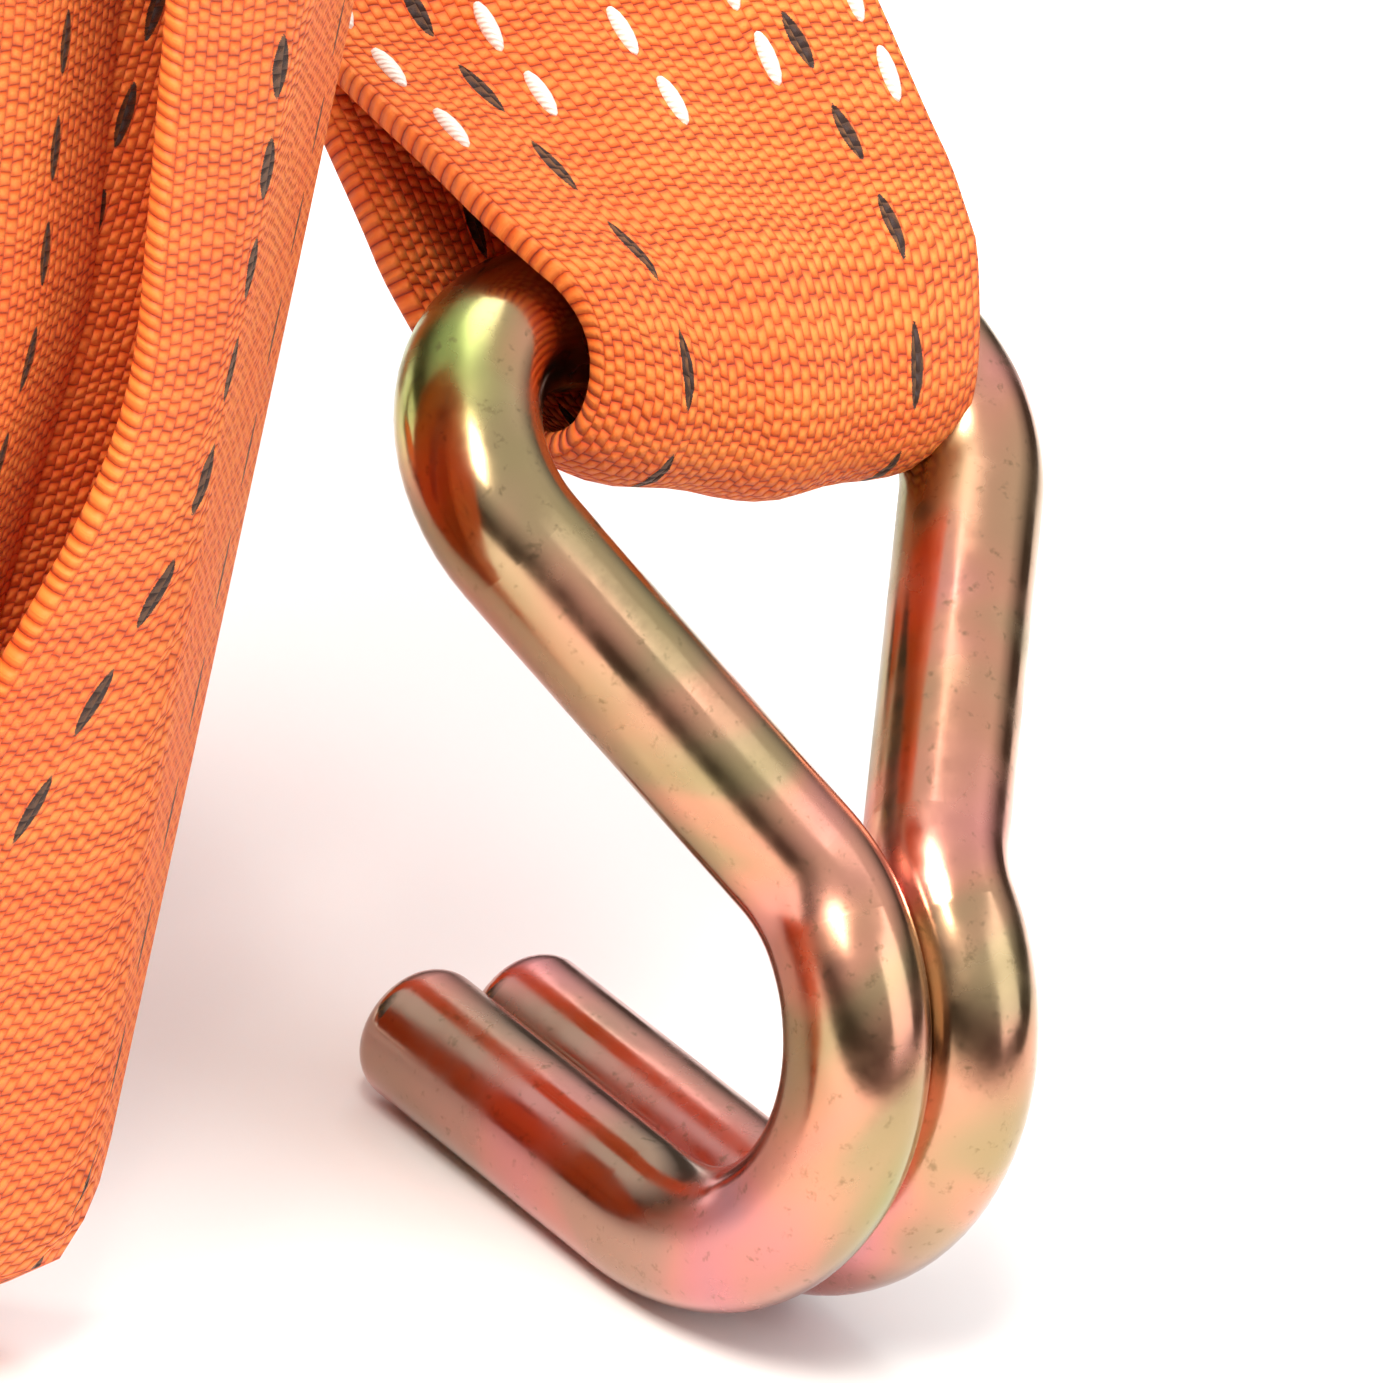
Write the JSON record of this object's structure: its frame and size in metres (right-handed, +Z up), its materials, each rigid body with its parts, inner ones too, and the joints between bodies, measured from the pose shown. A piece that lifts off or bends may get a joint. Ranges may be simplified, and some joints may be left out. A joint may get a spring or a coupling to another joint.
{
  "type": "ratchet strap",
  "caption": "Ratchet tie-down: geared tensioner with folding handle, short sewn strap and wound long strap, each ending in a claw hook of bent wire.",
  "frame": {"origin": "on the floor, under the middle of the whole object's box", "axes": "+Z up; +X along the mandrel and the hook bars; +Y from the short strap's hook towards the ratchet"},
  "size_m": [0.1818, 0.399, 0.172],
  "materials": {
    "zinc_yellow_wire": "zinc plated and yellow passivated wire",
    "orange_webbing": "woven polyester",
    "zinc_sheet": "pressed zinc plated sheet",
    "zinc_turned": "zinc plated bar and fasteners",
    "hardened_steel": "stamped and hardened wheel and pawl",
    "spring_wire": "drawn spring wire",
    "grip_plastic": "moulded, fine grain"
  },
  "bodies": {
    "ratchet_frame": {"frame_channel": "zinc_sheet", "fixed_bolt": "zinc_turned", "fixed_bolt_nut": "zinc_turned", "fixed_bolt_washer": "zinc_turned", "fixed_bolt_sleeve": "zinc_turned", "short_strap": "orange_webbing", "lock_pawl_spring": "spring_wire"},
    "mandrel": {"mandrel_upper_half": "zinc_turned", "mandrel_lower_half": "zinc_turned", "ratchet_wheel_left": "hardened_steel", "ratchet_wheel_right": "hardened_steel", "mandrel_washers": "zinc_turned", "cotter_pins": "zinc_turned"},
    "handle": {"handle_plate_left": "zinc_sheet", "handle_plate_right": "zinc_sheet", "handle_cross_tube": "zinc_turned", "handle_grip": "grip_plastic", "handle_rivet": "zinc_turned", "handle_bridge": "zinc_sheet", "drive_pawl_spring": "spring_wire"},
    "drive_pawl": {"drive_pawl": "hardened_steel"},
    "lock_pawl": {"lock_pawl": "hardened_steel"},
    "short_strap_hook": {"short_strap_hook": "zinc_yellow_wire"},
    "long_strap": {"long_strap_wound": "orange_webbing", "long_strap_end": "orange_webbing"},
    "long_strap_hook": {"long_strap_hook": "zinc_yellow_wire"}
  },
  "joints": [
    {"name": "handle_swing", "type": "hinge", "parent": "ratchet_frame", "child": "handle", "pos_m": [0.04291, 0.17508, 0.028], "axis": [-1, 0, 0], "range_deg": [0, 170]},
    {"name": "mandrel_spin", "type": "hinge", "parent": "ratchet_frame", "child": "mandrel", "pos_m": [0.04291, 0.17508, 0.028], "axis": [1, 0, 0], "continuous": true},
    {"name": "drive_pawl_slide", "type": "slide", "parent": "handle", "child": "drive_pawl", "axis": [0, -0.866, 0.5], "range_m": [0, 0.005], "stiffness_N_per_m": 400, "springref_m": -0.008, "deforming": ["drive_pawl_spring"]},
    {"name": "lock_pawl_slide", "type": "slide", "parent": "ratchet_frame", "child": "lock_pawl", "axis": [0, -1, 0], "range_m": [0, 0.005], "stiffness_N_per_m": 400, "springref_m": -0.006, "deforming": ["lock_pawl_spring"]},
    {"name": "short_hook_swing", "type": "hinge", "parent": "ratchet_frame", "child": "short_strap_hook", "pos_m": [0.04291, -0.14592, 0.0696], "axis": [1, 0, 0], "range_deg": [-80, 80]},
    {"name": "long_strap_lift", "type": "slide", "parent": "ratchet_frame", "child": "long_strap", "axis": [0, 0, 1], "range_m": [0, 0.15]},
    {"name": "long_hook_swing", "type": "hinge", "parent": "long_strap", "child": "long_strap_hook", "pos_m": [-0.05909, 0.01108, 0.01035], "axis": [1, 0, 0], "range_deg": [-80, 80]}
  ]
}
